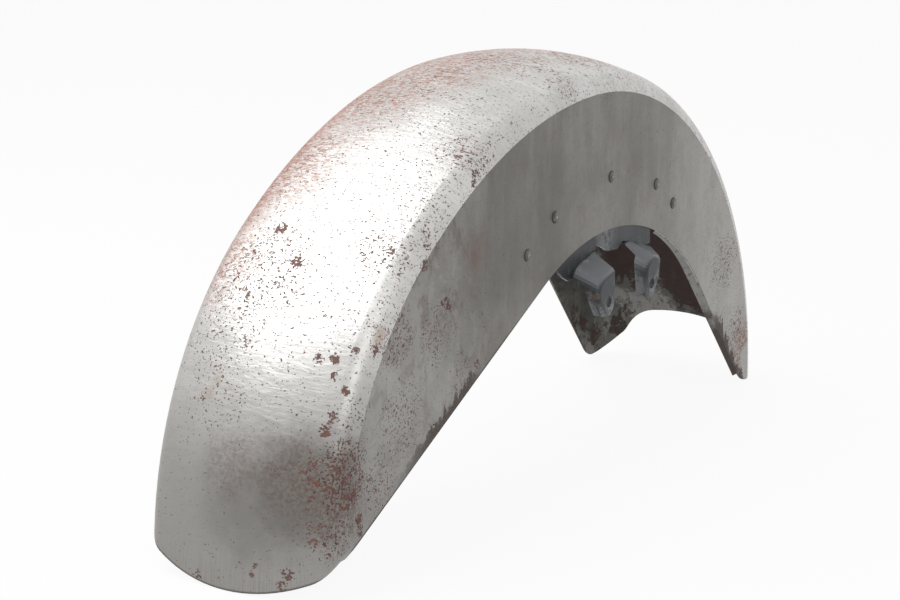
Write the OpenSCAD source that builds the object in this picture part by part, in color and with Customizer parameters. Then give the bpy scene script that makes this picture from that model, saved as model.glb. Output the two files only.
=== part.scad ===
// Full-skirt motorcycle front fender in bare steel, with riveted mounting brackets.
// Millimetres. +X is forward, +Y is the rider's left, +Z is up.
// The fender stands on its rear edge and its two front corners at z = 0.
// Shapes are laid out from the wheel arch centre and then moved to the standing frame.

/* [Shell] */
// Thickness of the stamped sheet
sheet_t = 1.5; // [1:0.1:2.5]
// Width over the two skirts
skirt_w = 184; // [160:1:210]
// Radius of the crown line along the top
top_r = 530; // [450:0.5:600]
// Radius of the crown line at the rear
rear_r = 336; // [300:0.5:400]
// Radius of the crown line at the front
front_r = 393; // [350:0.5:430]
// Crown centre of the top radius, ahead of the arch centre
top_x = -29.6; // [-80:0.1:0]
// Crown centre of the top radius, above the arch centre
top_z = -98.3; // [-140:0.1:-40]

/* [Section] */
// Radius of the crown across the width
crown_r = 254; // [180:1:400]
// Half width of the crown before the shoulder starts
crown_half = 75.6; // [60:0.1:85]
// Radius of the rolled shoulder
shoulder_r = 23.64; // [16:0.01:30]
// Depth of the crease at the top of the skirt, below the crown
crease_drop = 31; // [24:0.1:40]

/* [Wheel arch] */
// Radius of the wheel arch in the skirts
arch_r = 270; // [240:1:300]
// Height of the arch centre below the ground line
arch_drop = 47.4; // [30:0.1:70]
// Rear point that the straight rear edge runs to, behind the arch centre
rear_run = 503.9; // [460:0.1:560]
// Height of that rear point above the arch centre
rear_run_z = 50.5; // [30:0.1:90]
// Front point that the straight front edge runs to, ahead of the arch centre
front_run = 316; // [280:0.1:350]
// Height of that front point above the arch centre
front_run_z = 48.7; // [30:0.1:90]

/* [Ends] */
// Radius of the rear edge seen from behind
rear_edge_r = 185; // [140:1:240]
// Radius of the rear corners seen from behind
rear_corner_r = 28; // [10:1:40]
// Height of the front edge at the middle, above the ground line
front_edge_z = 55.2; // [45:0.1:65]
// Radius of the front edge seen from the front
front_edge_r = 250; // [180:1:400]
// Half width at which the front edge turns down, as a corner point before rounding
front_turn_y = 50; // [40:0.1:60]
// How far that corner point is below the middle of the front edge
front_turn_drop = 4.7; // [3:0.1:8]
// Radius that rounds that corner
front_turn_r = 38; // [20:1:45]
// Half width at which the front edge flares out again
front_flare_y = 65.1; // [58:0.1:75]
// Height of the flare above the ground line
front_flare_z = 25.7; // [15:0.1:35]
// Radius that rounds the flare
front_flare_r = 20; // [5:1:30]
// Half width at which the front edge reaches the ground line
front_foot_y = 92.3; // [88:0.1:96]
// Radius of the feet of the front legs seen from the side
foot_r = 33; // [10:1:45]

/* [Rivets] */
// Rivet positions ahead of the arch centre
rivet_x = [-155.3, -105.6, 2.9, 98.4, 136.4];
// Rivet positions above the arch centre
rivet_z = [275.1, 300.6, 319.7, 296.9, 271.7];
// Diameter of the rivet heads
rivet_head_d = 11.8; // [8:0.1:14]
// Height of the rivet heads
rivet_head_h = 2.8; // [1.5:0.1:4]
// Diameter of the rivet shanks
rivet_d = 6; // [4:0.1:8]
// Clearance all round a shank in its hole
rivet_gap = 0.1; // [0.05:0.01:0.3]

/* [Brackets] */
// Thickness of the bracket plate
bracket_t = 3; // [2:0.1:5]
// Outer bend radius of the formed ears
ear_bend = 5; // [4:0.5:8]
// Outer radius that rolls the shelf of an ear into its web
ear_roll = 17; // [8:0.5:24]
// Distance of the ear faces from the middle of the fender
ear_face_y = 117; // [105:0.5:130]
// Distance between the two bolt holes
bolt_pitch = 88; // [70:0.5:110]
// Height of the bolt holes above the arch centre
bolt_z = 213.2; // [190:0.1:230]
// Diameter of the bolt holes
bolt_d = 10.6; // [8:0.1:13]
// Radius of the top edge of the bracket plate from the arch centre
strap_r = 334; // [325:1:345]
// Radius of the hidden lower edge of the bracket plate
strap_in_r = 284; // [274:1:300]

/* [Lip] */
// Thickness of the lip turned in along the front legs
lip_t = 1.2; // [0.8:0.1:1.4]
// Angle above the forward direction where the lip starts
lip_from = 68; // [55:1:80]
// Width of the lip where it starts
lip_top_w = 4; // [2:0.1:10]
// Width of the lip at its widest
lip_mid_w = 8.7; // [4:0.1:14]
// Width of the lip at its foot
lip_tip_w = 5.7; // [2:0.1:12]

/* [Hidden] */
$fn = 48;
half_w = skirt_w / 2;
skirt_in = half_w - sheet_t;
// The three crown radii are tangent where they meet: straight up at the front blend,
// and 3 back for every 4 up at the rear blend
top_c = [top_x, top_z];
rear_lean = [-0.6, 0.8];
rear_c = top_c + (top_r - rear_r) * rear_lean;
front_c = top_c + [0, top_r - front_r];
// Slope of the crown where the shoulder starts, and the centre of the shoulder
crown_slope = asin(crown_half / crown_r);
shoulder_v = round(100 * (crown_r - (crown_r - shoulder_r) * cos(crown_slope))) / 100;
shoulder_h = round(100 * (crown_half - shoulder_r * sin(crown_slope))) / 100;
// The inner ends of the sweeps lie inside the wheel arch
sweep_in = 140;
// Front and rear limits of the shell, and its middle
front_up = front_edge_z + arch_drop - front_c[1];
front_x = front_c[0] + sqrt(front_r * front_r - front_up * front_up);
rear_x = rear_c[0] - rear_r;
mid_x = (front_x + rear_x) / 2;
ground = arch_drop;
reach = 400;
// The straight edge of a front leg: where it leaves the arch, and how far it leans back
front_a = atan2(front_run_z, front_run) + acos(arch_r / norm([front_run, front_run_z]));
leg_top = [arch_r * cos(front_a), arch_r * sin(front_a)];
leg_lean = 90 - front_a;
leg_dir = [sin(front_a), -cos(front_a)];
leg_foot = leg_top + leg_dir * (leg_top[1] - ground) / cos(front_a);
foot_run = foot_r * tan(leg_lean / 2);
// The ears are drawn for this radius of the strap and follow it
ear_size = strap_r / 334;

// Angle of the point where a line from a point touches the arch
function touch(x, z, side) = atan2(z, x) + side * acos(arch_r / norm([x, z]));
function on_arch(a) = [arch_r * cos(a), arch_r * sin(a)];
function along(p, q, x) = p + (q - p) * (x - p[0]) / (q[0] - p[0]);

// Corner q of a path from p to s, rounded by an arc
function rounded(p, q, s, r, n = 6) = let (
    a = (p - q) / norm(p - q),
    b = (s - q) / norm(s - q),
    half = acos(a * b) / 2,
    c = q + (a + b) / norm(a + b) * r / sin(half),
    start = q + a * r / tan(half) - c,
    turn = (cross(a, b) < 0 ? 1 : -1) * (180 - 2 * half))
    [for (k = [0 : n]) c + r * [cos(atan2(start[1], start[0]) + turn * k / n),
        sin(atan2(start[1], start[0]) + turn * k / n)]];

// Flat face through three points, held as its normal and distance
function face(a, b, c) = let (n = cross(b - a, c - a), u = n / norm(n)) [u, u * a];
function moved(f, d) = [f[0], f[1] + d];
function meet(a, b, c) = (a[1] * cross(b[0], c[0]) + b[1] * cross(c[0], a[0]) + c[1] * cross(a[0], b[0]))
    / (a[0] * cross(b[0], c[0]));

// Outline of the channel across the width, with the crown to the right, inset by a depth
module channel(r, inset, inner_r) {
    turn = round(100 * (crown_half - inset * sin(crown_slope))) / 100;
    intersection() {
        translate([r - crown_r, 0])
            circle(crown_r - inset, $fn = 144);
        translate([r - crease_drop, -turn])
            square([crease_drop + 1, 2 * turn]);
    }
    for (side = [-1, 1])
        intersection() {
            translate([r - shoulder_v, side * shoulder_h])
                circle(shoulder_r - inset);
            translate([r - crease_drop, side > 0 ? shoulder_h : inset - half_w])
                square([crease_drop + 1, half_w - inset - shoulder_h]);
        }
    translate([inner_r, inset - half_w])
        square([r - crease_drop - inner_r, skirt_w - 2 * inset]);
}

// One stretch of the bent sheet about its own centre, between two directions
module stretch(centre, r, from, to, past = []) {
    far = 1000;
    intersection() {
        translate([centre[0], 0, centre[1]])
            rotate([90, 0, 0])
                rotate([0, 0, 180])
                    rotate_extrude($fn = 144)
                        difference() {
                            channel(r, 0, sweep_in);
                            channel(r, sheet_t, sweep_in - 20);
                        }
        side_cut(skirt_w + 40)
            polygon(concat([centre, centre + far * from], past, [centre + far * to]));
    }
}

module side_cut(depth) {
    rotate([90, 0, 0])
        linear_extrude(depth, center = true)
            children();
}

// Everything under the lower edge of the skirts, seen from the side
module under_edge() {
    rear_a = touch(-rear_run, rear_run_z, -1);
    arch = [for (k = [0 : 40]) on_arch(rear_a + (front_a - rear_a) * k / 40)];
    rear_p = along(arch[0], [-rear_run, rear_run_z], rear_x + crease_drop + 6);
    foot = rounded(leg_top, leg_foot, leg_foot + [reach, 0], foot_r, 8);
    polygon(concat([rear_p], arch, foot, [[reach, ground], [reach, -reach], [rear_p[0], -reach]]));
}

// Everything past the rear edge, seen from behind
module under_rear() {
    edge_z = ground + rear_edge_r;
    corner_y = half_w - rear_corner_r;
    corner_run = rear_edge_r - rear_corner_r;
    corner_z = edge_z - sqrt(corner_run * corner_run - corner_y * corner_y);
    turn = asin(corner_y / corner_run);
    bottom = [for (k = [-10 : 10]) let (a = turn * k / 10)
        [rear_edge_r * sin(a), edge_z - rear_edge_r * cos(a)]];
    corner = [for (k = [1 : 8]) let (a = turn + (90 - turn) * k / 8)
        [corner_y + rear_corner_r * sin(a), corner_z - rear_corner_r * cos(a)]];
    polygon(concat([for (k = [7 : -1 : 0]) [-corner[k][0], corner[k][1]]], bottom, corner,
        [[half_w + 10, corner_z], [half_w + 10, -reach], [-half_w - 10, -reach],
        [-half_w - 10, corner_z]]));
}

// Everything past the front edge, seen from the front
module under_front() {
    edge_z = ground + front_edge_z;
    top_y = front_turn_y - 20;
    top = [for (k = [0 : 6]) let (y = top_y * k / 6)
        [y, edge_z - front_edge_r + sqrt(front_edge_r * front_edge_r - y * y)]];
    turn = [front_turn_y, edge_z - front_turn_drop];
    flare = [front_flare_y, ground + front_flare_z];
    foot = [front_foot_y, ground];
    past_foot = foot + (foot - flare) * 0.2;
    side = concat(top, rounded(top[6], turn, flare, front_turn_r),
        rounded(turn, flare, foot, front_flare_r, 3),
        [past_foot, [past_foot[0], -reach]]);
    n = len(side);
    polygon(concat([for (k = [n - 1 : -1 : 1]) [-side[k][0], side[k][1]]], side));
}

module end_cut(from, to) {
    translate([from, 0, 0])
        rotate([90, 0, 90])
            linear_extrude(to - from)
                children();
}

module standing() {
    translate([-mid_x, 0, -ground])
        children();
}

module rivet_holes(side) {
    for (i = [0 : len(rivet_x) - 1])
        translate([rivet_x[i], side * (half_w - 5), rivet_z[i]])
            rotate([90, 0, 0])
                cylinder(h = 30, d = rivet_d + 2 * rivet_gap, center = true, $fn = 48);
}

// Lip turned inward along the edge of the right front leg, rooted inside the sheet
module lip() {
    arc = [for (k = [0 : 12]) lip_from + (front_a - lip_from) * k / 12];
    leg_run = norm(leg_foot - leg_top) - foot_run;
    points = concat([for (a = arc) on_arch(a)], [for (k = [1, 2]) leg_top + leg_dir * leg_run * k / 2]);
    outs = concat([for (a = arc) [cos(a), sin(a)]], [for (k = [1, 2]) leg_top / arch_r]);
    widths = concat([for (k = [0 : 12]) lip_top_w + (lip_mid_w - lip_top_w) * min(1, k / 10)],
        [(lip_mid_w + lip_tip_w) / 2, lip_tip_w]);
    root_y = 0.3 - half_w;
    n = 6;
    t = lip_t * sqrt(0.5);
    rows = [for (i = [0 : len(points) - 1]) let (fall = widths[i] * sqrt(0.5))
        for (q = [[3, root_y], [0.5, root_y], [0.5 - fall, root_y + fall],
            [0.5 - fall + t, root_y + fall + t], [0.5 + t, root_y + t], [3, root_y + t]])
            [points[i][0] + outs[i][0] * q[0], q[1], points[i][1] + outs[i][1] * q[0]]];
    cap = [[1, 2, 3], [1, 3, 4], [0, 1, 4], [0, 4, 5]];
    last = n * (len(points) - 1);
    polyhedron(rows, concat(cap, [for (f = cap) [last + f[2], last + f[1], last + f[0]]],
        [for (i = [0 : len(points) - 2]) for (j = [0 : 5]) let (a = n * i + j, b = n * i + (j + 1) % n)
            for (f = [[a, b + n, b], [a, a + n, b + n]]) f]), convexity = 6);
}

// The stamped sheet with its crown, shoulders, skirts and lips
module fender_shell() {
    color([0.62, 0.61, 0.59])
        standing() {
            difference() {
                union() {
                    stretch(top_c, top_r, [0, 1], rear_lean);
                    stretch(rear_c, rear_r, rear_lean, [-1, -0.1], [[-reach * 2, reach]]);
                    stretch(front_c, front_r, [1, -0.1], [0, 1], [[reach * 2, reach * 2]]);
                }
                side_cut(skirt_w + 20)
                    under_edge();
                end_cut(rear_x - 20, rear_x + 160)
                    under_rear();
                end_cut(front_x - 140, front_x + 20)
                    under_front();
                rivet_holes(-1);
                rivet_holes(1);
            }
            lip();
            mirror([0, 1, 0])
                lip();
        }
}

// Bent sheet of one ear: a shelf, a face and a rear web, open ahead and below
module ear_sheet(root_rear, root_front, fold_rear, foot_rear) {
    shelf_f = face(root_rear, root_front, fold_rear);
    web_f = face(root_rear, fold_rear, foot_rear);
    up = shelf_f[0][2] > 0 ? 1 : -1;
    back = web_f[0][0] < 0 ? 1 : -1;
    difference() {
        ear_hull(shelf_f, web_f, up, back, root_front[0] + 60, ear_bend);
        ear_hull(shelf_f, web_f, up, back, root_front[0] + 60, ear_bend - bracket_t);
    }
}

// Solid under the ear sheet, its edges rolled to a ball radius and its rear edge wider
module ear_hull(shelf_f, web_f, up, back, ahead, ball) {
    shelf = moved(shelf_f, -up * ear_bend);
    web = moved(web_f, -back * ear_bend);
    low_shelf = moved(shelf_f, -up * ear_roll);
    in_web = moved(web_f, -back * ear_roll);
    tab = [[0, 1, 0], ear_bend - ear_face_y];
    root = [[0, 1, 0], -70];
    bottom = [[0, 0, 1], 150];
    front = [[1, 0, 0], ahead];
    hull() {
        for (o = [tab, root]) {
            translate(meet(low_shelf, in_web, o))
                rotate([90, 0, 0])
                    rotate_extrude($fn = 32)
                        translate([ear_roll - ear_bend, 0])
                            circle(ball, $fn = 20);
            for (c = [meet(shelf, front, o), meet(bottom, web, o), meet(bottom, front, o)])
                translate(c)
                    sphere(ball, $fn = 20);
        }
    }
}

// One ear trimmed to its outline from the side, its web's free edge and its front edge
module ear(points, outline, web_edge, front_edge) {
    plate_y = skirt_in - bracket_t;
    intersection() {
        ear_sheet(points[0], points[1], points[2], points[3]);
        difference() {
            translate([0, -plate_y, 0])
                rotate([90, 0, 0])
                    linear_extrude(60)
                        polygon(ear_size * outline);
            translate([-200, 0, 0])
                rotate([90, 0, 90])
                    linear_extrude(200 + points[0][0] + 40)
                        polygon(web_edge);
            translate([0, 0, 150])
                linear_extrude(200)
                    polygon(front_edge);
        }
    }
}

// Plate, both ears and bolt holes of the right bracket
module bracket() {
    root_y = -skirt_in;
    fold_y = 1 - ear_face_y;
    plate_y = skirt_in - bracket_t;
    difference() {
        union() {
            translate([0, -plate_y, 0])
                rotate([90, 0, 0])
                    linear_extrude(bracket_t)
                        plate_shape();
            ear([side_point([-82.4, 243.2], root_y), side_point([-23.4, 255.9], root_y),
                side_point([-79, 233.3], fold_y), side_point([-53.4, 200.9], fold_y)],
                [[-110, 300], [-24, 300], [-23.4, 257], [-29, 252], [-33.8, 242], [-32, 231], [-32.3, 213.5],
                    [-35.5, 205.5], [-41, 200.2], [-53, 200.2], [-60, 202], [-110, 208]],
                web_cut([236, 233.5, 227, 219, 190]),
                [[-23, -60], [-22.5, root_y - 0.3], [-34, -ear_face_y - 1], [0, -ear_face_y - 1],
                    [0, -60]] * ear_size);
            ear([side_point([18.6, 260.9], root_y), side_point([87.6, 238.9], root_y),
                side_point([24.2, 248.5], fold_y), side_point([36.6, 201.9], fold_y)],
                [[0, 300], [92, 300], [91, 236], [60.5, 236], [60.1, 230.4], [58.6, 217.3], [50.5, 204.5],
                    [45, 201.2], [31, 199.5], [14, 203.5], [0, 209]],
                web_cut([249.5, 245, 240.3, 225, 190]),
                [[91.5, -60], [91.5, root_y - 0.3], [59.5, -ear_face_y - 1], [110, -ear_face_y - 1],
                    [110, -60]] * ear_size);
        }
        for (x = [-bolt_pitch / 2, bolt_pitch / 2])
            translate([x, -ear_face_y, bolt_z])
                rotate([90, 0, 0])
                    cylinder(h = 20, d = bolt_d, center = true, $fn = 64);
        rivet_holes(-1);
    }
}

function side_point(p, y) = [p[0] * ear_size, y, p[1] * ear_size];

// Region behind the free edge of a web, from the plate out, for its heights going outward
function web_cut(z) = let (out = (ear_face_y - skirt_in) / 26.5)
    [[-60, z[0] * ear_size], [-skirt_in, z[0] * ear_size], [-skirt_in - 6.5 * out, z[1] * ear_size],
        [-skirt_in - 13 * out, z[2] * ear_size], [-skirt_in - 15 * out, z[3] * ear_size],
        [-skirt_in - 14 * out, z[4] * ear_size], [-60, z[4] * ear_size]];

// The bracket plate seen from the side
module plate_shape() {
    difference() {
        intersection() {
            circle(strap_r, $fn = 96);
            polygon(ear_size * [[0, 0], [-230, 320], [-230, 360], [230, 360], [185, 275]]);
        }
        circle(strap_in_r, $fn = 96);
        translate(ear_size * [148, 200])
            square(ear_size * [60, 200]);
    }
    intersection() {
        circle(strap_in_r + 8, $fn = 96);
        polygon(ear_size * [[-118, 300], [-97.4, 254], [-92, 246], [-84, 240], [-74, 235], [-62.5, 235],
            [-55, 248], [-30, 253], [-20, 258.5], [-9.5, 254.8], [0, 250], [4.4, 248.6], [22, 247.3],
            [34, 253], [70, 241], [91, 240], [89.5, 300]]);
    }
}

module right_bracket() {
    color([0.40, 0.43, 0.46])
        standing()
            bracket();
}

module left_bracket() {
    color([0.40, 0.43, 0.46])
        standing()
            mirror([0, 1, 0])
                bracket();
}

// One blind rivet along the side direction, its head seat at the origin
module rivet() {
    dome_r = (rivet_head_d * rivet_head_d / 4 + rivet_head_h * rivet_head_h) / (2 * rivet_head_h);
    grip = sheet_t + bracket_t;
    rotate([90, 0, 0]) {
        difference() {
            intersection() {
                translate([0, 0, rivet_head_h - dome_r])
                    sphere(dome_r, $fn = 48);
                cylinder(h = rivet_head_h, d = rivet_head_d + 1, $fn = 48);
            }
            translate([0, 0, rivet_head_h - 1])
                cylinder(h = 2, d = 4, $fn = 32);
        }
        translate([0, 0, rivet_head_h - 1.4])
            cylinder(h = 1.2, d = 2.6, $fn = 32);
        translate([0, 0, -grip - 0.5])
            cylinder(h = grip + 1, d = rivet_d, $fn = 48);
        translate([0, 0, -grip - 3])
            cylinder(h = 3, d = 9, $fn = 48);
    }
}

module rivets() {
    for (i = [0 : len(rivet_x) - 1])
        translate([rivet_x[i], -half_w, rivet_z[i]])
            rivet();
}

module right_rivets() {
    color([0.55, 0.54, 0.52])
        standing()
            rivets();
}

module left_rivets() {
    color([0.55, 0.54, 0.52])
        standing()
            mirror([0, 1, 0])
                rivets();
}

fender_shell();
right_bracket();
left_bracket();
right_rivets();
left_rivets();
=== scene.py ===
from types import SimpleNamespace

import bpy
from mathutils import Matrix, Vector

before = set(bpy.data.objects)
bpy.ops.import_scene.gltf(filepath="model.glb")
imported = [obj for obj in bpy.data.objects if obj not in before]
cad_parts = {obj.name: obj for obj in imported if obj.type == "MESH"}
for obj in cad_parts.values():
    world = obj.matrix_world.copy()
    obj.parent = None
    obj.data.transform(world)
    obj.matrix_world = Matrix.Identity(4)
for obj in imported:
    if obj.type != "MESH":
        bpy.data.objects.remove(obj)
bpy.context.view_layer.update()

# Lengths are in metres and colours are linear RGB.
# +X is the front of the fender, +Y the rider's left, and the photograph shows the right side.
MM = 0.001

# The wheel centre that the fender bends round, and the radius that unrolls its crown.
ARCH_X, ARCH_Z = 0.0619, -0.0474
UNROLL_RADIUS = 0.4

# The straight lower edges: a point on each in X and Z, then the normal into the sheet.
REAR_EDGE = (-0.0586, 0.1942, -0.4461, 0.8950)
FRONT_LEG_EDGE = (0.2651, 0.1304, 0.7530, 0.6580)
# Seen from behind, the rear end is rounded about this height.
REAR_ROUND_Z = 0.185

# A round mark is full out to CORE of its radius and gone at RIM of it.
CORE, RIM = 0.35 * MM, 1.35 * MM

# The middle of a noise, over which two tones of one surface blend.
EVEN = (0.3, 0.7)

WHITE = (1.0, 1.0, 1.0)

# Where masks start and where they are full: along the crown, along X, out from the middle, up.
TAIL_ALONG = (-0.38, -0.54)
BRUSHED_ALONG = (-0.545, -0.60)
TONE_ALONG = (-0.60, -0.28)
PALE_FRONT_X = (0.10, 0.34)
PALE_REAR_X = (-0.14, -0.34)
REAR_SKIRT_X = (-0.10, -0.26)
RUSTY_CUT_X = (-0.10, -0.16)
CUT_EDGE_SIDE = (0.0896, 0.0904)
SKIRT_SIDE = (0.0905, 0.0915)
SKIRT_FACING = (0.988, 0.997)
CUT_EDGE_FACING = (-0.75, -0.92)
OUTSIDE_FACING = (-0.15, 0.1)

# Greys and browns of the shell, outside. The crown's pale greys are partly painted light, the rear
# end's grey is painted shade, and the skirts' darker greys are partly painted shade.
CROWN_LIT_DEEP, CROWN_LIT_PALE = (0.54, 0.532, 0.515), (0.64, 0.632, 0.615)
CROWN_RIPPLE = (0.42, 0.41, 0.395)
TAIL_SHADE_GREY = (0.265, 0.255, 0.240)
DULL_GREY = (0.132, 0.125, 0.114)
BRUSHED_GREY = (0.22, 0.205, 0.19)
SKIRT_SHADED_DEEP, SKIRT_SHADED_GREY = (0.178, 0.169, 0.157), (0.232, 0.223, 0.209)
SKIRT_PALE_STREAK = (0.285, 0.278, 0.264)
SKIRT_BROWN_STREAK = (0.135, 0.118, 0.105)
SKIRT_GRIT = (0.15, 0.135, 0.125)
SKIRT_STAIN = (0.128, 0.098, 0.085)
SKIRT_RUBBED = (0.33, 0.315, 0.30)
SKIRT_MIDDLE = (0.130, 0.124, 0.115)
PALE_DEEP, PALE_LIGHT = (0.33, 0.32, 0.305), (0.45, 0.44, 0.425)
# The cut edges that face the wheel: a painted highlight in front, rusty toward the rear.
CUT_EDGE_HIGHLIGHT, CUT_EDGE_RUSTY = (0.42, 0.41, 0.395), (0.070, 0.050, 0.042)
RUST_DEEP, RUST_RED = (0.095, 0.040, 0.032), (0.200, 0.088, 0.066)
EDGE_RUST_DEEP, EDGE_RUST_PALE = (0.075, 0.056, 0.049), (0.135, 0.105, 0.092)
FILM_BROWN = (0.34, 0.140, 0.096)
WATER_STAIN = (0.125, 0.075, 0.062)
OCHRE = (0.36, 0.24, 0.155)

# The shell's inside and its lip.
INNER_DEEP, INNER_GREY = (0.100, 0.103, 0.093), (0.190, 0.186, 0.170)
INNER_SMEAR = (0.30, 0.29, 0.27)
INNER_RUST_DEEP, INNER_RUST_PALE = (0.070, 0.045, 0.040), (0.150, 0.098, 0.086)
INNER_PALE = (0.33, 0.32, 0.30)
LIP_DEEP, LIP_PALE = (0.15, 0.145, 0.138), (0.30, 0.292, 0.28)
LIP_RUST_DEEP, LIP_RUST_PALE = (0.075, 0.058, 0.052), (0.150, 0.118, 0.105)

# The brackets' primer and the rivets.
PRIMER_DEEP, PRIMER_GREY = (0.024, 0.027, 0.031), (0.040, 0.044, 0.049)
# A painted highlight on the ears' upward-facing tops.
PRIMER_TOP_HIGHLIGHT = (0.205, 0.216, 0.230)
PRIMER_PLATE = (0.022, 0.025, 0.028)
DUST = (0.12, 0.124, 0.13)
CHIPPED_METAL = (0.34, 0.34, 0.325)
BRACKET_RUST_DEEP, BRACKET_RUST_PALE = (0.075, 0.048, 0.036), (0.22, 0.165, 0.13)
RUBBED_EDGE = (0.36, 0.37, 0.38)
RIVET_DEEP, RIVET_GREY = (0.085, 0.085, 0.082), (0.155, 0.155, 0.150)
# The rubbed tops of the heads with a painted highlight, and a painted contact shadow round their
# feet.
RIVET_RUBBED_HIGHLIGHT = (0.46, 0.46, 0.445)
RIVET_CONTACT_SHADOW = (0.030, 0.027, 0.024)
RIVET_STAIN = (0.13, 0.075, 0.055)

# Noises, as (space, cycles per metre, detail, roughness, distortion, offset).
SHELL_GRAIN = {
    "fine": ("object", 900.0, 2.0, 0.55, 0.0, 0.0),
    "cloud": ("object", 14.0, 4.0, 0.6, 0.0, 0.0),
    "patchy": ("object", 38.0, 4.0, 0.65, 0.0, 3.0),
    "grit": ("object", 300.0, 3.0, 0.7, 0.0, 8.0),
    "wide": ("object", 55.0, 5.0, 0.7, 0.0, 0.0),
    "close": ("object", 230.0, 4.0, 0.7, 0.0, 0.0),
    "streak": ("object", (190.0, 190.0, 24.0), 4.0, 0.6, 0.0, 0.0),
    "broad_streak": ("object", (46.0, 46.0, 9.0), 4.0, 0.6, 0.0, 7.0),
    "brushed": ("object", (900.0, 900.0, 22.0), 2.0, 0.5, 0.0, 0.0),
    "mottle": ("object", (52.0, 52.0, 34.0), 6.0, 0.72, 0.4, 12.0),
    "ripple": ("unrolled", (330.0, 70.0, 1.0), 3.0, 0.55, 0.6, 0.0),
    "broad_ripple": ("unrolled", (150.0, 42.0, 1.0), 3.0, 0.5, 0.8, 2.0),
    "dashes": ("unrolled", (560.0, 150.0, 300.0), 4.0, 0.62, 0.5, 6.0),
    "pits": ("widened", 640.0, 2.0, 0.55, 0.0, 0.0),
    "blots": ("widened", 250.0, 4.0, 0.70, 0.0, 5.0),
    "inner_cloud": ("object", 24.0, 5.0, 0.72, 0.0, 11.0),
    "inner_fine": ("object", 120.0, 5.0, 0.75, 0.0, 4.0),
    "inner_smear": ("object", (30.0, 90.0, 16.0), 5.0, 0.65, 0.0, 1.0),
    "lip_patch": ("object", 150.0, 5.0, 0.75, 0.0, 9.0),
}
BRACKET_GRAIN = {
    "cloud": ("object", 30.0, 4.0, 0.6, 0.0, 0.0),
    "fine": ("object", 420.0, 3.0, 0.6, 0.0, 0.0),
    "blots": ("object", 150.0, 5.0, 0.70, 0.0, 6.0),
    "close": ("object", 230.0, 4.0, 0.7, 0.0, 0.0),
}
RIVET_GRAIN = {
    "cloud": ("object", 240.0, 4.0, 0.65, 0.0, 0.0),
    "fine": ("object", 1200.0, 2.0, 0.5, 0.0, 0.0),
    "stain": ("object", 420.0, 3.0, 0.6, 0.0, 2.0),
}
# The widened space stretches the pits across the crown.
WIDENED = (1.0, 0.55, 1.0)
# A noise's offset goes by these shares along X, Y and Z.
OFFSET_SHARES = (1.0, 0.7, 1.3)
# How far the outlines of round marks wander.
WIDE_WANDER, CLOSE_WANDER = 0.05, 0.008

# Round marks, as (x, y, z, radius in mm, strength).
DULL_PATCH = [
    (-0.402, -0.055, 0.088, 54, 1), (-0.406, -0.020, 0.074, 50, 0.7),
    (-0.392, -0.084, 0.105, 40, 0.9),
]
SKIRT_MIDDLE_PATCH = [(-0.130, -0.092, 0.250, 75, 1), (-0.060, -0.092, 0.270, 60, 0.8)]
RUST_MARKS = [
    (-0.377, -0.075, 0.149, 7.5, 0.74), (-0.383, -0.071, 0.138, 8.8, 0.74),
    (-0.365, -0.080, 0.167, 6.2, 0.74), (-0.364, -0.068, 0.178, 5, 0.74),
    (-0.383, -0.091, 0.094, 13.8, 0.63), (-0.377, -0.091, 0.083, 11.2, 0.67),
    (-0.364, -0.092, 0.062, 7.5, 0.74), (-0.363, -0.092, 0.052, 7.5, 0.74),
    (-0.401, -0.086, 0.041, 6.2, 0.59), (-0.414, -0.056, 0.023, 8.8, 0.7),
    (-0.415, -0.052, 0.012, 7.5, 0.7), (-0.418, -0.027, 0.026, 3.8, 0.67),
    (-0.419, -0.025, 0.018, 3.8, 0.67), (-0.418, 0.029, 0.007, 7.5, 0.67),
    (-0.385, 0.046, 0.148, 8.8, 0.59), (-0.290, 0.034, 0.272, 10, 0.74),
    (-0.297, 0.036, 0.266, 8.8, 0.59), (-0.316, 0.000, 0.253, 11.2, 0.7),
    (-0.309, 0.006, 0.259, 11.2, 0.55), (-0.305, 0.047, 0.257, 11.2, 0.59),
    (-0.358, -0.064, 0.190, 7.5, 0.74), (-0.362, -0.051, 0.189, 6.2, 0.74),
    (-0.348, -0.077, 0.197, 7.5, 0.67), (-0.285, -0.070, 0.266, 8.8, 0.67),
    (-0.290, -0.064, 0.262, 7.5, 0.59), (-0.256, -0.087, 0.276, 8.8, 0.67),
    (-0.260, -0.090, 0.268, 7.5, 0.67), (-0.267, -0.092, 0.252, 8.8, 0.67),
    (-0.181, -0.089, 0.314, 8.8, 0.7), (-0.186, -0.091, 0.307, 7.5, 0.67),
    (-0.106, 0.007, 0.366, 15, 0.59), (-0.232, -0.092, 0.215, 6.2, 0.74),
    (-0.227, -0.092, 0.210, 6.2, 0.74), (-0.236, -0.092, 0.214, 5, 0.74),
    (-0.245, -0.092, 0.174, 13.8, 0.53), (-0.168, -0.092, 0.181, 7.5, 0.52),
    (-0.172, -0.092, 0.190, 6.2, 0.48), (-0.179, -0.092, 0.148, 6.2, 0.67),
    (-0.252, -0.092, 0.109, 11.2, 0.59), (-0.307, -0.091, 0.203, 10, 0.59),
    (-0.335, -0.090, 0.196, 10, 0.63), (0.376, -0.092, 0.040, 8.8, 0.55),
    (0.372, -0.092, 0.028, 8.8, 0.52), (-0.322, -0.091, 0.185, 10, 0.55),
]
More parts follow.
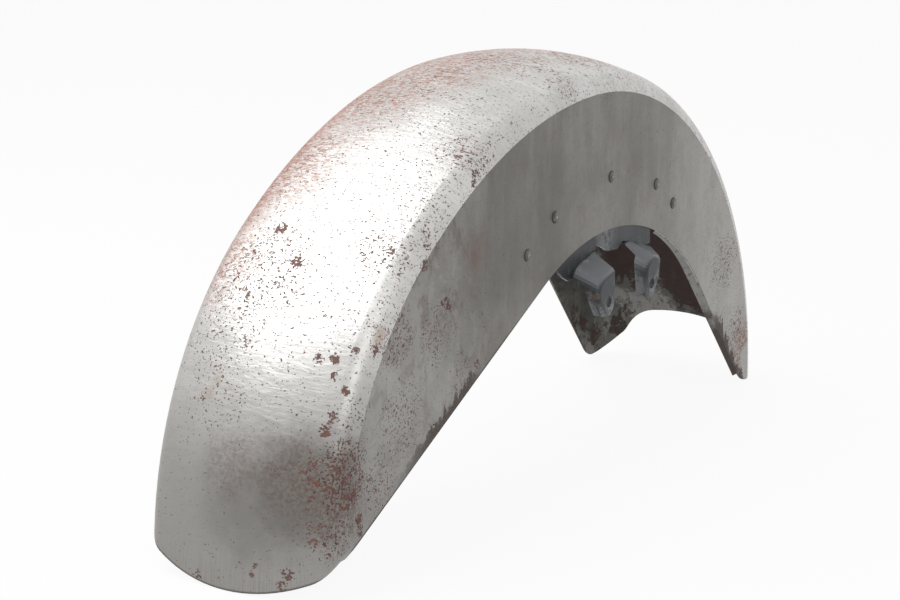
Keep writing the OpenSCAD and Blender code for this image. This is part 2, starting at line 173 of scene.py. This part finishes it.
RUST_ZONES = [
    (-0.323, 0.028, 0.244, 84, 0.58), (-0.359, 0.040, 0.200, 76, 0.52),
    (-0.290, -0.069, 0.263, 40, 0.58), (-0.174, -0.075, 0.332, 40, 0.58),
    (-0.110, 0.050, 0.357, 80, 0.50), (-0.066, 0.020, 0.375, 60, 0.55),
    (0.000, -0.020, 0.382, 70, 0.58), (0.080, -0.050, 0.372, 60, 0.60),
    (-0.015, -0.080, 0.366, 32, 0.58), (-0.190, 0.075, 0.330, 80, 0.46),
    (-0.383, -0.088, 0.100, 46, 0.69), (-0.370, -0.086, 0.150, 30, 0.52),
    (-0.245, -0.092, 0.190, 44, 0.52), (-0.303, -0.092, 0.130, 50, 0.54),
    (-0.333, -0.092, 0.085, 40, 0.54), (0.322, -0.092, 0.140, 50, 0.56),
    (-0.310, -0.091, 0.200, 40, 0.58), (0.054, -0.088, 0.361, 30, 0.50),
    (-0.200, -0.092, 0.140, 36, 0.52), (0.358, -0.092, 0.060, 34, 0.58),
    (0.120, 0.060, 0.360, 80, 0.66), (-0.385, 0.030, 0.150, 55, 0.50),
    (-0.240, -0.085, 0.290, 40, 0.52), (-0.375, -0.040, 0.165, 45, 0.45),
    (-0.160, -0.092, 0.240, 60, 0.36), (0.150, 0.0, 0.355, 90, 0.45),
    (-0.400, -0.089, 0.060, 36, 0.62),
]
FILM_ZONES = [
    (-0.110, 0.075, 0.350, 85, 1), (-0.010, 0.055, 0.378, 95, 1),
    (-0.210, 0.090, 0.310, 75, 1), (0.090, 0.020, 0.375, 85, 0.9),
    (-0.300, 0.092, 0.240, 52, 0.8), (0.200, 0.060, 0.330, 95, 0.8),
    (-0.066, 0.030, 0.372, 60, 0.9), (-0.183, -0.092, 0.248, 18, 0.35),
    (0.374, -0.092, 0.050, 20, 0.9), (0.366, -0.092, 0.030, 13, 0.9),
]
WATER_STAINS = [
    (-0.395, -0.088, 0.070, 26, 1), (-0.376, -0.091, 0.075, 22, 0.8),
    (-0.403, -0.055, 0.098, 34, 1), (-0.404, 0.000, 0.105, 30, 0.6),
    (-0.390, -0.088, 0.090, 30, 1),
]
OCHRE_SPOTS = [
    (-0.328, -0.089, 0.208, 6, 1), (-0.331, -0.089, 0.203, 6, 1),
    (-0.385, 0.040, 0.152, 6, 0.7), (-0.378, 0.034, 0.163, 6, 0.6),
]
INNER_RUST_ZONES = [
    (0.404, 0.057, 0.100, 30, 1), (0.398, 0.062, 0.116, 26, 1),
    (0.415, -0.012, 0.090, 42, 1), (0.410, 0.020, 0.125, 40, 1),
    (0.400, 0.040, 0.150, 34, 0.9), (0.390, 0.000, 0.180, 50, 0.9),
    (0.365, 0.090, 0.040, 14, 0.8), (0.390, 0.088, 0.020, 14, 0.7),
]
INNER_PALE_ZONES = [
    (0.416, 0.018, 0.064, 17, 1), (0.413, 0.045, 0.058, 20, 1),
    (0.412, 0.066, 0.070, 16, 0.9), (0.408, 0.062, 0.085, 12, 0.7),
    (0.418, -0.010, 0.060, 10, 0.6),
]
CHIPPED_SPOTS = [
    (-0.012, -0.093, 0.197, 6, 1), (0.000, -0.093, 0.200, 6, 0.8),
    (0.015, -0.093, 0.203, 6, 0.9), (0.028, -0.093, 0.206, 6, 0.8),
    (-0.016, -0.113, 0.186, 8, 1), (0.130, -0.092, 0.200, 8, 0.9),
    (0.084, -0.113, 0.200, 9, 0.9), (0.095, -0.100, 0.205, 7, 0.8),
    (-0.018, -0.091, 0.188, 7, 0.8), (0.030, -0.116, 0.195, 5, 0.7),
    (-0.030, -0.090, 0.197, 6, 0.7),
]
BRACKET_RUST_SPOTS = [
    (-0.006, -0.112, 0.174, 9, 1), (-0.003, -0.114, 0.166, 6, 0.9),
    (0.088, -0.114, 0.193, 8, 0.9), (0.094, -0.106, 0.199, 7, 0.8),
    (0.006, -0.117, 0.158, 5, 0.5), (0.095, -0.117, 0.160, 5, 0.5),
]


class Net:
    """The node tree of a new material or world, with one short call for each kind of node."""

    def __init__(self, owner):
        owner.use_nodes = True
        self.owner = owner
        self.tree = owner.node_tree
        self.tree.nodes.clear()

    def add(self, kind, **props):
        node = self.tree.nodes.new(kind)
        for key, value in props.items():
            setattr(node, key, value)
        return node

    def put(self, socket, value):
        """Link a socket, or write a number, a vector or an opaque colour; None leaves it alone."""
        if isinstance(value, bpy.types.NodeSocket):
            self.tree.links.new(value, socket)
        elif value is not None:
            if hasattr(value, "__len__") and len(value) < len(socket.default_value):
                value = (*value, 1.0)
            socket.default_value = value

    def locate(self):
        """Give the tree the point on the object, and its distance from the middle plane."""
        self.at = self.add("ShaderNodeTexCoord").outputs["Object"]
        self.x, self.y, self.z = self.split(self.at)
        self.side = self.math("ABSOLUTE", self.y)

    def math(self, op, a, b=None, clamp=False):
        node = self.add("ShaderNodeMath", operation=op, use_clamp=clamp)
        for socket, value in zip(node.inputs, (a, b)):
            self.put(socket, value)
        return node.outputs[0]

    def plus(self, a, b):
        return self.math("ADD", a, b)

    def minus(self, a, b):
        return self.math("SUBTRACT", a, b)

    def times(self, a, b):
        return self.math("MULTIPLY", a, b)

    def most(self, *values):
        total = values[0]
        for value in values[1:]:
            total = self.math("MAXIMUM", total, value)
        return total

    def swing(self, noise, spread):
        """The noise about zero, `spread` wide."""
        return self.times(self.minus(noise, 0.5), spread)

    def vec(self, op, a, b=None):
        node = self.add("ShaderNodeVectorMath", operation=op)
        self.put(node.inputs[0], a)
        self.put(node.inputs[1], b)
        is_number = op in ("LENGTH", "DISTANCE", "DOT_PRODUCT")
        return node.outputs["Value"] if is_number else node.outputs[0]

    def join(self, x, y, z):
        node = self.add("ShaderNodeCombineXYZ")
        for socket, value in zip(node.inputs, (x, y, z)):
            self.put(socket, value)
        return node.outputs[0]

    def split(self, vector):
        node = self.add("ShaderNodeSeparateXYZ")
        self.put(node.inputs[0], vector)
        return node.outputs[:]

    def geometry(self, output):
        return self.add("ShaderNodeNewGeometry").outputs[output]

    def noise(self, at, scale, detail, rough, distort, offset):
        """A noise of 0 to 1; a `scale` of three numbers stretches it."""
        if hasattr(scale, "__len__"):
            at, scale = self.vec("MULTIPLY", at, scale), 1.0
        if offset:
            at = self.vec("ADD", at, tuple(offset * share for share in OFFSET_SHARES))
        node = self.add("ShaderNodeTexNoise")
        inputs = {"Vector": at, "Scale": scale, "Detail": detail, "Roughness": rough,
                  "Distortion": distort}
        for name, value in inputs.items():
            self.put(node.inputs[name], value)
        return node.outputs["Fac"]

    def grain(self, recipes, **spaces):
        """Every noise of a table, by its name."""
        spaces["object"] = self.at
        return SimpleNamespace(**{
            name: self.noise(spaces[space], *recipe) for name, (space, *recipe) in recipes.items()
        })

    def ramp(self, value, start, full, least=0.0, peak=1.0, smooth=True):
        """`least` up to `start`, `peak` from `full` on, and an eased or straight way between."""
        kind = "SMOOTHSTEP" if smooth else "LINEAR"
        node = self.add("ShaderNodeMapRange", interpolation_type=kind)
        for socket, number in zip(node.inputs, (value, start, full, least, peak)):
            self.put(socket, number)
        return node.outputs[0]

    def mix(self, amount, base, over, share=None):
        """`base` with `over` laid on it by `amount`, or by `share` of that."""
        if share is not None:
            amount = self.times(amount, share)
        node = self.add("ShaderNodeMix", data_type="RGBA")
        self.put(node.inputs[0], amount)
        self.put(node.inputs[6], base)
        self.put(node.inputs[7], over)
        return node.outputs[2]

    def spots(self, at, wander, rows):
        """The most of several round marks, whose outlines wander."""
        marks = []
        for x, y, z, radius, strength in rows:
            reach = self.plus(self.vec("DISTANCE", at, (x, y, z)), wander)
            marks.append(self.ramp(reach, radius * CORE, radius * RIM, strength, 0.0))
        return self.most(*marks)

    def beyond(self, line):
        """The distance past a straight edge, into the sheet."""
        x, z, normal_x, normal_z = line
        return self.plus(self.times(self.minus(self.x, x), normal_x),
                         self.times(self.minus(self.z, z), normal_z))

    def bump(self, height, distance, strength, normal=None):
        node = self.add("ShaderNodeBump")
        self.put(node.inputs["Height"], height)
        self.put(node.inputs["Distance"], distance)
        self.put(node.inputs["Strength"], strength)
        self.put(node.inputs["Normal"], normal)
        return node.outputs[0]

    def finish(self, colour, rough, metallic, normal):
        node = self.add("ShaderNodeBsdfPrincipled")
        self.put(node.inputs["Base Color"], colour)
        self.put(node.inputs["Roughness"], rough)
        self.put(node.inputs["Metallic"], metallic)
        self.put(node.inputs["Normal"], normal)
        self.put(self.add("ShaderNodeOutputMaterial").inputs[0], node.outputs[0])
        return self.owner


def shell_zones(net):
    """Where a point lies on the shell, as distances and as masks from 0 to 1."""
    forward, up = net.minus(net.x, ARCH_X), net.minus(net.z, ARCH_Z)
    from_hub = net.join(forward, 0.0, up)
    along = net.times(net.math("ARCTAN2", forward, up), UNROLL_RADIUS)
    away = net.vec("LENGTH", from_hub)
    facing = net.geometry("True Normal")
    sideways = net.split(facing)[1]
    # The inside faces look back toward the wheel and the middle plane.
    facing_side = net.times(sideways, net.math("SIGN", net.y))
    facing_out = net.vec("DOT_PRODUCT", net.vec("NORMALIZE", from_hub), facing)
    outward = net.plus(facing_out, net.times(facing_side, 1.2))
    return SimpleNamespace(
        along=along,
        away=away,
        unrolled=net.join(along, net.y, away),
        outside=net.ramp(outward, *OUTSIDE_FACING),
        # The flat skirts by the way they face, without the crown and its rolled shoulders.
        skirt=net.ramp(net.math("ABSOLUTE", sideways), *SKIRT_FACING),
        # The skirts by their place, with their cut edges.
        on_skirt=net.ramp(net.side, *SKIRT_SIDE),
        cut_edge=net.times(net.ramp(facing_out, *CUT_EDGE_FACING),
                           net.ramp(net.side, *CUT_EDGE_SIDE)),
        tail=net.ramp(along, *TAIL_ALONG),
        above_edge=net.beyond(REAR_EDGE),
        ahead_of_edge=net.beyond(FRONT_LEG_EDGE),
    )


def crown_metal(net, zones, grain):
    """Ground metal, made pale partly by painted light, with painted shade darkening the rear end
    and a dull patch above its lower edge.
    """
    grey = net.mix(net.ramp(grain.cloud, *EVEN), CROWN_LIT_DEEP, CROWN_LIT_PALE)
    grey = net.mix(net.ramp(grain.broad_ripple, 0.40, 0.62, peak=0.25), grey, CROWN_RIPPLE)
    # Painted shade on the rear end of the crown.
    grey = net.mix(zones.tail, grey, TAIL_SHADE_GREY, share=0.85)
    dull = net.spots(net.at, net.swing(grain.patchy, WIDE_WANDER), DULL_PATCH)
    grey = net.mix(dull, grey, DULL_GREY, share=0.72)
    brushed = net.times(net.ramp(zones.along, *BRUSHED_ALONG),
                        net.ramp(grain.brushed, 0.35, 0.7, peak=0.6))
    return net.mix(brushed, grey, BRUSHED_GREY)


def skirt_metal(net, grain):
    """Metal greyed partly by painted shade, with faint streaks, pale on the front leg and mottled
    at the rear.
    """
    grey = net.mix(net.ramp(grain.cloud, *EVEN), SKIRT_SHADED_DEEP, SKIRT_SHADED_GREY)
    grey = net.mix(net.ramp(grain.broad_streak, 0.42, 0.70, peak=0.45), grey, SKIRT_PALE_STREAK)
    grey = net.mix(net.ramp(grain.streak, 0.52, 0.75, peak=0.22), grey, SKIRT_BROWN_STREAK)
    grey = net.mix(net.ramp(grain.grit, 0.50, 0.68, peak=0.22), grey, SKIRT_GRIT)
    pale = net.most(net.ramp(net.x, *PALE_FRONT_X, peak=0.90),
                    net.ramp(net.x, *PALE_REAR_X, peak=0.30))
    grey = net.mix(pale, grey, net.mix(grain.broad_streak, PALE_DEEP, PALE_LIGHT))
    rear = net.ramp(net.x, *REAR_SKIRT_X)
    stained = net.times(net.ramp(grain.mottle, 0.50, 0.62),
                        net.ramp(rear, 0.0, 1.0, least=0.15, peak=0.60))
    grey = net.mix(stained, grey, SKIRT_STAIN)
    rubbed = net.times(net.ramp(grain.mottle, 0.46, 0.36), net.times(rear, 0.45))
    grey = net.mix(rubbed, grey, SKIRT_RUBBED)
    middle = net.spots(net.at, 0.0, SKIRT_MIDDLE_PATCH)
    return net.mix(middle, grey, SKIRT_MIDDLE, share=0.45)


def bare_metal(net, zones, grain):
    # The skirts, found by the way they face, take greys darkened partly by painted shade, and the
    # crown keeps greys made pale partly by painted light. Toward the rear end the crown and the
    # skirts run together in tone.
    skirt_shade = net.times(zones.skirt, net.ramp(zones.along, *TONE_ALONG, least=0.30))
    metal = net.mix(skirt_shade, crown_metal(net, zones, grain), skirt_metal(net, grain))
    # A painted highlight along the cut edges, rusty toward the rear.
    cut = net.mix(net.ramp(net.x, *RUSTY_CUT_X), CUT_EDGE_HIGHLIGHT, CUT_EDGE_RUSTY)
    return net.mix(zones.cut_edge, metal, cut, share=0.85)


def rust_specks(net, zones, grain, wander):
    """Pits and blots of rust, thicker where the photograph shows it."""
    marks = net.spots(net.at, wander.close, RUST_MARKS)
    thick = net.spots(net.at, wander.wide, RUST_ZONES)
    density = net.most(net.times(thick, 0.92), marks)
    # Everywhere else a few specks remain, fewest on the skirts and at the rear end.
    sparse = net.minus(0.42, net.times(zones.skirt, 0.13))
    sparse = net.minus(sparse, net.times(zones.tail, 0.12))
    density = net.most(density, sparse)
    pit_level = net.ramp(density, 0.0, 1.0, least=0.785, peak=0.40, smooth=False)
    blot_level = net.ramp(density, 0.0, 1.0, least=0.87, peak=0.34, smooth=False)
    pits = net.ramp(net.minus(grain.pits, pit_level), 0.0, 0.035)
    blots = net.ramp(net.minus(grain.blots, blot_level), 0.0, 0.03)
    return net.most(pits, blots)


def brown_film(net, zones, grain, wander):
    """A pink brown film on the far shoulder and the top, broken into fine dashes."""
    zone = net.spots(net.at, wander.wide, FILM_ZONES)
    left_skirt = net.times(zones.skirt, net.ramp(net.y, 0.0, 0.05))
    zone = net.times(zone, net.ramp(left_skirt, 0.0, 1.0, least=1.0, peak=0.3))
    film = net.times(zone, net.ramp(grain.dashes, 0.45, 0.58, least=0.05))
    far_shoulder = net.times(net.ramp(net.y, 0.050, 0.082), net.ramp(net.x, -0.36, -0.24))
    far_shoulder = net.times(far_shoulder, net.ramp(zones.skirt, 0.0, 1.0, least=1.0, peak=0.12))
    veil = net.times(far_shoulder, net.ramp(grain.dashes, 0.36, 0.56, least=0.35))
    return net.most(film, veil)


def edge_rust(net, zones, grain):
    """Rust that creeps in from the lower edges of the skirts, and lines the rear end."""
    frayed = net.plus(net.swing(grain.streak, 0.030), net.swing(grain.grit, 0.018))
    rear = net.times(net.ramp(net.plus(zones.above_edge, frayed), 0.012, 0.007),
                     net.times(net.ramp(net.x, -0.165, -0.195), net.ramp(net.x, -0.330, -0.240)))
    front = net.times(net.ramp(net.plus(zones.ahead_of_edge, frayed), 0.009, 0.004),
                      net.times(net.ramp(net.z, 0.100, 0.075), net.ramp(net.x, 0.15, 0.20)))
    rim = net.times(net.ramp(zones.above_edge, 0.0022, 0.0012), net.ramp(net.x, -0.08, -0.14))
    rim = net.times(rim, net.times(net.ramp(net.x, -0.379, -0.372), zones.on_skirt))
    from_round = net.vec("LENGTH", net.join(0.0, net.y, net.minus(net.z, REAR_ROUND_Z)))
    rear_rim = net.times(net.ramp(from_round, 0.1828, 0.1840), net.ramp(net.x, -0.30, -0.34))
    rim = net.times(net.most(rim, net.times(rear_rim, net.ramp(net.z, 0.05, 0.04))), 0.8)
    return net.most(net.times(rear, zones.on_skirt), net.times(front, zones.on_skirt), rim)


def inside_of_shell(net, grain, wander):
    """Dark grey green metal with broad brown rust and paler smears, and where it is rusty."""
    colour = net.mix(net.ramp(grain.inner_cloud, 0.35, 0.65), INNER_DEEP, INNER_GREY)
    colour = net.mix(net.ramp(grain.inner_smear, 0.48, 0.66, peak=0.6), colour, INNER_SMEAR)
    rusty = net.ramp(net.plus(grain.inner_cloud, net.times(grain.inner_fine, 0.6)), 0.83, 0.90)
    zone = net.spots(net.at, wander.wide, INNER_RUST_ZONES)
    marks = net.ramp(net.plus(zone, net.swing(grain.inner_fine, 1.7)), 0.34, 0.72)
    rusty = net.most(net.times(rusty, 0.8), marks)
    rust = net.mix(grain.inner_fine, INNER_RUST_DEEP, INNER_RUST_PALE)
    colour = net.mix(rusty, colour, rust, share=0.92)
    zone = net.spots(net.at, wander.wide, INNER_PALE_ZONES)
    marks = net.ramp(net.plus(zone, net.swing(grain.inner_fine, 1.5)), 0.36, 0.70)
    return net.mix(marks, colour, INNER_PALE, share=0.75), rusty


def turned_lip(net, zones, grain):
    """The lip of each front leg, its colour (pale above, brown below), and where it is rusty."""
    on_arch = net.times(net.ramp(zones.away, 0.2700, 0.2694), net.ramp(net.x, 0.11, 0.13))
    on_leg = net.times(net.ramp(zones.ahead_of_edge, 0.0003, -0.0003),
                       net.ramp(net.x, 0.262, 0.266))
    low = net.ramp(net.plus(net.z, net.swing(grain.patchy, 0.08)), 0.098, 0.070)
    rusty = net.most(low, net.times(net.ramp(grain.lip_patch, 0.56, 0.62), 0.7))
    colour = net.mix(grain.patchy, LIP_DEEP, LIP_PALE)
    rust = net.mix(grain.grit, LIP_RUST_DEEP, LIP_RUST_PALE)
    return net.most(on_arch, on_leg), net.mix(rusty, colour, rust, share=0.92), rusty


def steel_shell():
    net = Net(bpy.data.materials.new("worn_bare_steel"))
    net.locate()
    zones = shell_zones(net)
    grain = net.grain(SHELL_GRAIN, unrolled=zones.unrolled,
                      widened=net.vec("MULTIPLY", zones.unrolled, WIDENED))
    wander = SimpleNamespace(wide=net.swing(grain.wide, WIDE_WANDER),
                             close=net.swing(grain.close, CLOSE_WANDER))

    specks = rust_specks(net, zones, grain, wander)
    film = brown_film(net, zones, grain, wander)
    edges = edge_rust(net, zones, grain)
    stain = net.times(net.spots(net.at, wander.wide, WATER_STAINS),
                      net.ramp(grain.grit, 0.35, 0.65))
    ochre = net.spots(net.at, wander.close, OCHRE_SPOTS)
    red_rust = net.mix(net.ramp(grain.blots, 0.35, 0.7), RUST_DEEP, RUST_RED)
    brown_rust = net.mix(net.ramp(grain.fine, 0.35, 0.65), EDGE_RUST_DEEP, EDGE_RUST_PALE)
    colour = bare_metal(net, zones, grain)
    colour = net.mix(film, colour, FILM_BROWN, share=0.85)
    colour = net.mix(stain, colour, WATER_STAIN, share=0.60)
    colour = net.mix(specks, colour, red_rust, share=0.9)
    colour = net.mix(edges, colour, brown_rust, share=0.82)
    colour = net.mix(ochre, colour, OCHRE, share=0.45)
    inner_colour, inner_rust = inside_of_shell(net, grain, wander)
    colour = net.mix(zones.outside, inner_colour, colour)
    lip, lip_colour, lip_rust = turned_lip(net, zones, grain)
    colour = net.mix(lip, colour, lip_colour)

    # Rust is rough and hardly metallic, and worn steel shines.
    rusty = net.times(net.most(specks, edges, net.times(film, 0.7)), zones.outside)
    inside = net.minus(1.0, zones.outside)
    rusty = net.most(rusty, net.times(inside, net.ramp(inner_rust, 0.0, 1.0, least=0.35)))
    rusty = net.most(rusty, net.times(lip, lip_rust))
    rough = net.ramp(rusty, 0.0, 1.0, least=0.38, peak=0.86, smooth=False)
    rough = net.math("ADD", rough, net.swing(grain.patchy, 0.14), clamp=True)
    rough = net.math("ADD", rough, net.times(zones.skirt, 0.10), clamp=True)
    metallic = net.ramp(rusty, 0.0, 1.0, least=0.90, peak=0.06, smooth=False)

    # Grinding marks on the crown, soft waves on the skirts, and the pits.
    on_crown = net.times(net.minus(1.0, zones.skirt), zones.outside)
    ripples = net.times(net.plus(net.times(grain.ripple, 0.55), grain.broad_ripple), on_crown)
    waves = net.times(net.times(grain.patchy, zones.skirt), 1.2)
    normal = net.bump(net.plus(ripples, waves), distance=0.0008, strength=0.65)
    pitted = net.minus(net.times(grain.fine, 0.35), specks)
    normal = net.bump(pitted, distance=0.00025, strength=0.6, normal=normal)
    return net.finish(colour, rough, metallic, normal)


def primer_bracket():
    net = Net(bpy.data.materials.new("grey_primer_bracket"))
    net.locate()
    grain = net.grain(BRACKET_GRAIN)
    wander = net.swing(grain.close, CLOSE_WANDER)
    # Both brackets carry the marks of the right one.
    mirrored = net.join(net.x, net.times(net.side, -1.0), net.z)

    # A painted highlight makes the upward-facing tops of the ears paler than the faces, and the
    # plate is darker.
    facing_up = net.split(net.geometry("Normal"))[2]
    painted_top_highlight = net.times(net.ramp(facing_up, 0.15, 0.75), net.ramp(net.side, 0.0905, 0.0925))
    plate = net.ramp(net.side, 0.0925, 0.0905)
    colour = net.mix(net.ramp(grain.cloud, *EVEN), PRIMER_DEEP, PRIMER_GREY)
    colour = net.mix(painted_top_highlight, colour, PRIMER_TOP_HIGHLIGHT, share=0.85)
    colour = net.mix(plate, colour, PRIMER_PLATE, share=0.8)
    dust = net.ramp(net.plus(grain.cloud, net.times(grain.blots, 0.5)), 0.74, 0.88)
    colour = net.mix(dust, colour, DUST, share=0.10)

    # Chipped paint along the bends at the roots of the ears, and rust at their corners.
    chipped = net.spots(mirrored, wander, CHIPPED_SPOTS)
    chipped = net.ramp(net.plus(chipped, net.swing(grain.fine, 3.0)), 0.85, 1.0)
    chipped = net.times(chipped, net.ramp(plate, 0.0, 1.0, least=0.6, peak=0.15))
    colour = net.mix(chipped, colour, CHIPPED_METAL)
    rusty = net.spots(mirrored, wander, BRACKET_RUST_SPOTS)
    rusty = net.ramp(net.plus(rusty, net.swing(grain.blots, 2.4)), 0.62, 0.85)
    rusty = net.most(rusty, net.ramp(grain.blots, 0.74, 0.77))
    rust = net.mix(grain.fine, BRACKET_RUST_DEEP, BRACKET_RUST_PALE)
    colour = net.mix(rusty, colour, rust, share=0.75)

    # Paint rubbed bright along the outer edges.
    bright = net.times(net.ramp(net.geometry("Pointiness"), 0.56, 0.64),
                       net.ramp(grain.blots, 0.30, 0.55))
    colour = net.mix(bright, colour, RUBBED_EDGE, share=0.5)

    rough = net.ramp(grain.cloud, *EVEN, least=0.34, peak=0.48)
    rough = net.math("ADD", rough, net.times(rusty, 0.3), clamp=True)
    metallic = net.ramp(rusty, 0.0, 1.0, least=0.35, peak=0.05, smooth=False)
    grainy = net.plus(grain.fine, net.times(grain.blots, 1.5))
    return net.finish(colour, rough, metallic, net.bump(grainy, distance=0.00025, strength=0.45))


def rivet_steel():
    net = Net(bpy.data.materials.new("rivet_steel"))
    net.locate()
    grain = net.grain(RIVET_GRAIN)
    # The tops are rubbed bright and carry a painted highlight, and a painted contact shadow rings
    # the foot of each head.
    colour = net.mix(net.ramp(grain.cloud, *EVEN), RIVET_DEEP, RIVET_GREY)
    colour = net.mix(net.ramp(net.side, 0.0941, 0.0946, peak=0.7), colour, RIVET_RUBBED_HIGHLIGHT)
    colour = net.mix(net.ramp(net.side, 0.0934, 0.0923, peak=0.85), colour, RIVET_CONTACT_SHADOW)
    colour = net.mix(net.ramp(grain.stain, 0.62, 0.70), colour, RIVET_STAIN, share=0.5)
    rough = net.ramp(grain.cloud, *EVEN, least=0.30, peak=0.46)
    normal = net.bump(net.plus(grain.fine, grain.cloud), distance=0.0002, strength=0.5)
    return net.finish(colour, rough, 0.85, normal)


FINISH = {"fender_shell": steel_shell(), "bracket": primer_bracket(), "rivets": rivet_steel()}
for node_name, node_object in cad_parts.items():
    finish = next(mat for key, mat in FINISH.items() if node_name.endswith(key))
    for slot in node_object.material_slots:
        slot.material = finish


# The studio: a floor and a world that the camera and mirrors see as white.
FLOOR_SIZE = 24.0
FLOOR_Z = -0.0006  # just clear of the part's lowest points
FLOOR_GREY = (0.86, 0.86, 0.86)
FLOOR_WHITE_SHARE = 0.93  # the rest keeps the shadow
WORLD_LIGHT = 0.40
# Each lamp: where it stands, what it points at, its width and length, and its power in watts.
LAMPS = {
    "overhead_softbox": ((-0.62, 0.95, 2.1), (-0.05, 0.0, 0.2), (2.4, 2.0), 42.0),
    "side_softbox": ((-1.5, -1.6, 1.5), (0.0, 0.0, 0.15), (1.2, 1.0), 6.0),
}
# The camera that was fitted to the photograph.
LENS_MM, SENSOR_MM = 99.592, 36.0
CAMERA_CLIP_END = 50.0
CAMERA_POSE = Matrix((
    (0.51369152, 0.20127435, -0.83403217, -1.9598554),
    (-0.85789792, 0.13352373, -0.4961679, -1.1239036),
    (0.01149722, 0.9703917, 0.24126285, 0.7163164),
    (0.0, 0.0, 0.0, 1.0),
))


def white_to_camera(net, output, share, lit, white):
    """Show `white` to the camera and to mirrors, in part, and `lit` to every other ray."""
    path = net.add("ShaderNodeLightPath").outputs
    mirrored = net.math("MAXIMUM", path["Is Glossy Ray"], path["Is Transmission Ray"])
    seen = net.math("MAXIMUM", path["Is Camera Ray"], mirrored)
    blend = net.add("ShaderNodeMixShader")
    net.put(blend.inputs[0], net.times(seen, share))
    for socket, (kind, settings) in zip(blend.inputs[1:], (lit, white)):
        shader = net.add(kind)
        for name, value in settings.items():
            net.put(shader.inputs[name], value)
        net.put(socket, shader.outputs[0])
    net.put(net.add(output).inputs[0], blend.outputs[0])


bpy.ops.mesh.primitive_plane_add(size=FLOOR_SIZE, location=(0, 0, FLOOR_Z))
floor = bpy.context.object
floor.name = "studio_floor"
pale_floor = bpy.data.materials.new("pale_floor")
white_to_camera(
    Net(pale_floor), "ShaderNodeOutputMaterial", FLOOR_WHITE_SHARE,
    lit=("ShaderNodeBsdfDiffuse", {"Color": FLOOR_GREY}),
    white=("ShaderNodeEmission", {"Color": WHITE}),
)
floor.data.materials.append(pale_floor)

world = bpy.data.worlds.new("studio")
bpy.context.scene.world = world
white_to_camera(
    Net(world), "ShaderNodeOutputWorld", 1.0,
    lit=("ShaderNodeBackground", {"Color": WHITE, "Strength": WORLD_LIGHT}),
    white=("ShaderNodeBackground", {"Color": WHITE, "Strength": 1.0}),
)

for lamp_name, (place, target, (width, length), power) in LAMPS.items():
    light = bpy.data.lights.new(lamp_name, "AREA")
    light.shape = "RECTANGLE"
    light.size, light.size_y = width, length
    light.energy = power
    lamp = bpy.data.objects.new(lamp_name, light)
    bpy.context.scene.collection.objects.link(lamp)
    lamp.location = place
    aim = Vector(target) - Vector(place)
    lamp.rotation_euler = aim.to_track_quat("-Z", "Y").to_euler()

camera_data = bpy.data.cameras.new("camera")
camera_data.lens = LENS_MM
camera_data.sensor_width = SENSOR_MM
camera_data.clip_end = CAMERA_CLIP_END
camera = bpy.data.objects.new("camera", camera_data)
bpy.context.scene.collection.objects.link(camera)
camera.matrix_world = CAMERA_POSE
bpy.context.scene.camera = camera
bpy.context.scene.view_settings.view_transform = "Standard"

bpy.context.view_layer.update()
